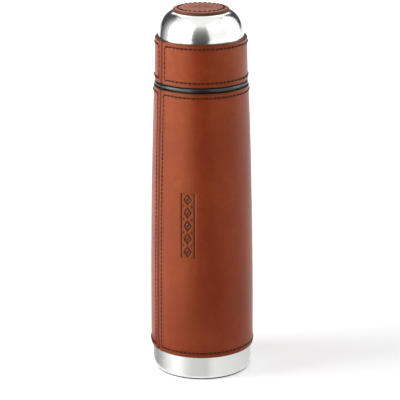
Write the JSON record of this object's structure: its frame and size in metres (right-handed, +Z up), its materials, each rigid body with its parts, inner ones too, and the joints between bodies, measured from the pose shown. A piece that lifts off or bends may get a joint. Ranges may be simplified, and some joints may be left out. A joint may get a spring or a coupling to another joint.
{
  "type": "vacuum flask",
  "caption": "Slim leather-covered steel vacuum flask with a domed screw-on cup, black collar and push-button pouring stopper.",
  "frame": {"origin": "centre of the rubber foot, on the surface the flask stands on", "axes": "+Z up the flask's axis from the foot to the leather patch on the cup; the leather seams face -X, a little towards -Y"},
  "size_m": [0.0716, 0.0716, 0.2503],
  "materials": {
    "steel_brushed": "satin stainless steel, turned finish",
    "steel_inner": "electropolished stainless steel",
    "seal_solder": "dull solder bead",
    "getter_alloy": "sintered dark grey pellet",
    "spring_steel": "bright stainless wire and rod",
    "rubber_black": "matt moulded rubber",
    "plastic_black": "glossy moulded polypropylene",
    "plastic_grey": "fine-textured moulded plastic",
    "silicone": "soft translucent-grey silicone",
    "leather_brown": "smooth satin red-brown leather with darker edges",
    "thread_dark": "dark brown waxed thread"
  },
  "bodies": {
    "flask": {"outer_shell": "steel_brushed", "inner_liner": "steel_inner", "base_plate": "steel_inner", "vacuum_seal": "seal_solder", "getter": "getter_alloy", "getter_clip": "spring_steel", "foot_pad": "rubber_black", "neck_collar": "plastic_black", "neck_gasket": "silicone", "body_sleeve": "leather_brown", "body_bottom_stitching": "thread_dark", "body_top_stitching": "thread_dark", "body_seam_stitching_left": "thread_dark", "body_seam_stitching_right": "thread_dark"},
    "stopper_gasket": {"stopper_seal": "silicone"},
    "stopper": {"stopper_body": "plastic_black", "stopper_cover": "plastic_black", "button_o_ring": "silicone", "button_spring": "spring_steel"},
    "button": {"push_button": "plastic_grey", "valve_stem": "spring_steel", "stem_clip": "spring_steel", "valve_disc": "plastic_grey", "valve_seal": "silicone"},
    "cup_gasket": {"cup_seal": "silicone"},
    "cup": {"cup_shell": "steel_brushed", "cup_liner": "steel_inner", "cup_thread_ring": "plastic_black", "cup_sleeve": "leather_brown", "cup_patch": "leather_brown", "cup_bottom_stitching": "thread_dark", "cup_top_stitching": "thread_dark", "cup_seam_stitching_left": "thread_dark", "cup_seam_stitching_right": "thread_dark", "patch_stitching": "thread_dark"}
  },
  "joints": [
    {"name": "stopper_lift", "type": "slide", "parent": "flask", "child": "stopper_gasket", "axis": [0, 0, 1], "range_m": [0, 0.00801]},
    {"name": "stopper_turn", "type": "hinge", "parent": "stopper_gasket", "child": "stopper", "pos_m": [0, 0, 0.22], "axis": [0, 0, 1], "range_deg": [0, 720]},
    {"name": "button_press", "type": "slide", "parent": "stopper", "child": "button", "axis": [0, 0, -1], "range_m": [0, 0.0035], "stiffness_N_per_m": 400, "springref_m": -0.004, "deforming": ["button_spring"]},
    {"name": "cup_lift", "type": "slide", "parent": "flask", "child": "cup_gasket", "axis": [0, 0, 1], "range_m": [0, 0.06001]},
    {"name": "cup_turn", "type": "hinge", "parent": "cup_gasket", "child": "cup", "pos_m": [0, 0, 0.21], "axis": [0, 0, 1], "range_deg": [0, 1440]}
  ],
  "couplings": [
    {"joint": "stopper_lift", "follows": "stopper_turn", "m_per_rad": 0.00063662},
    {"joint": "cup_lift", "follows": "cup_turn", "m_per_rad": 0.0023873}
  ]
}
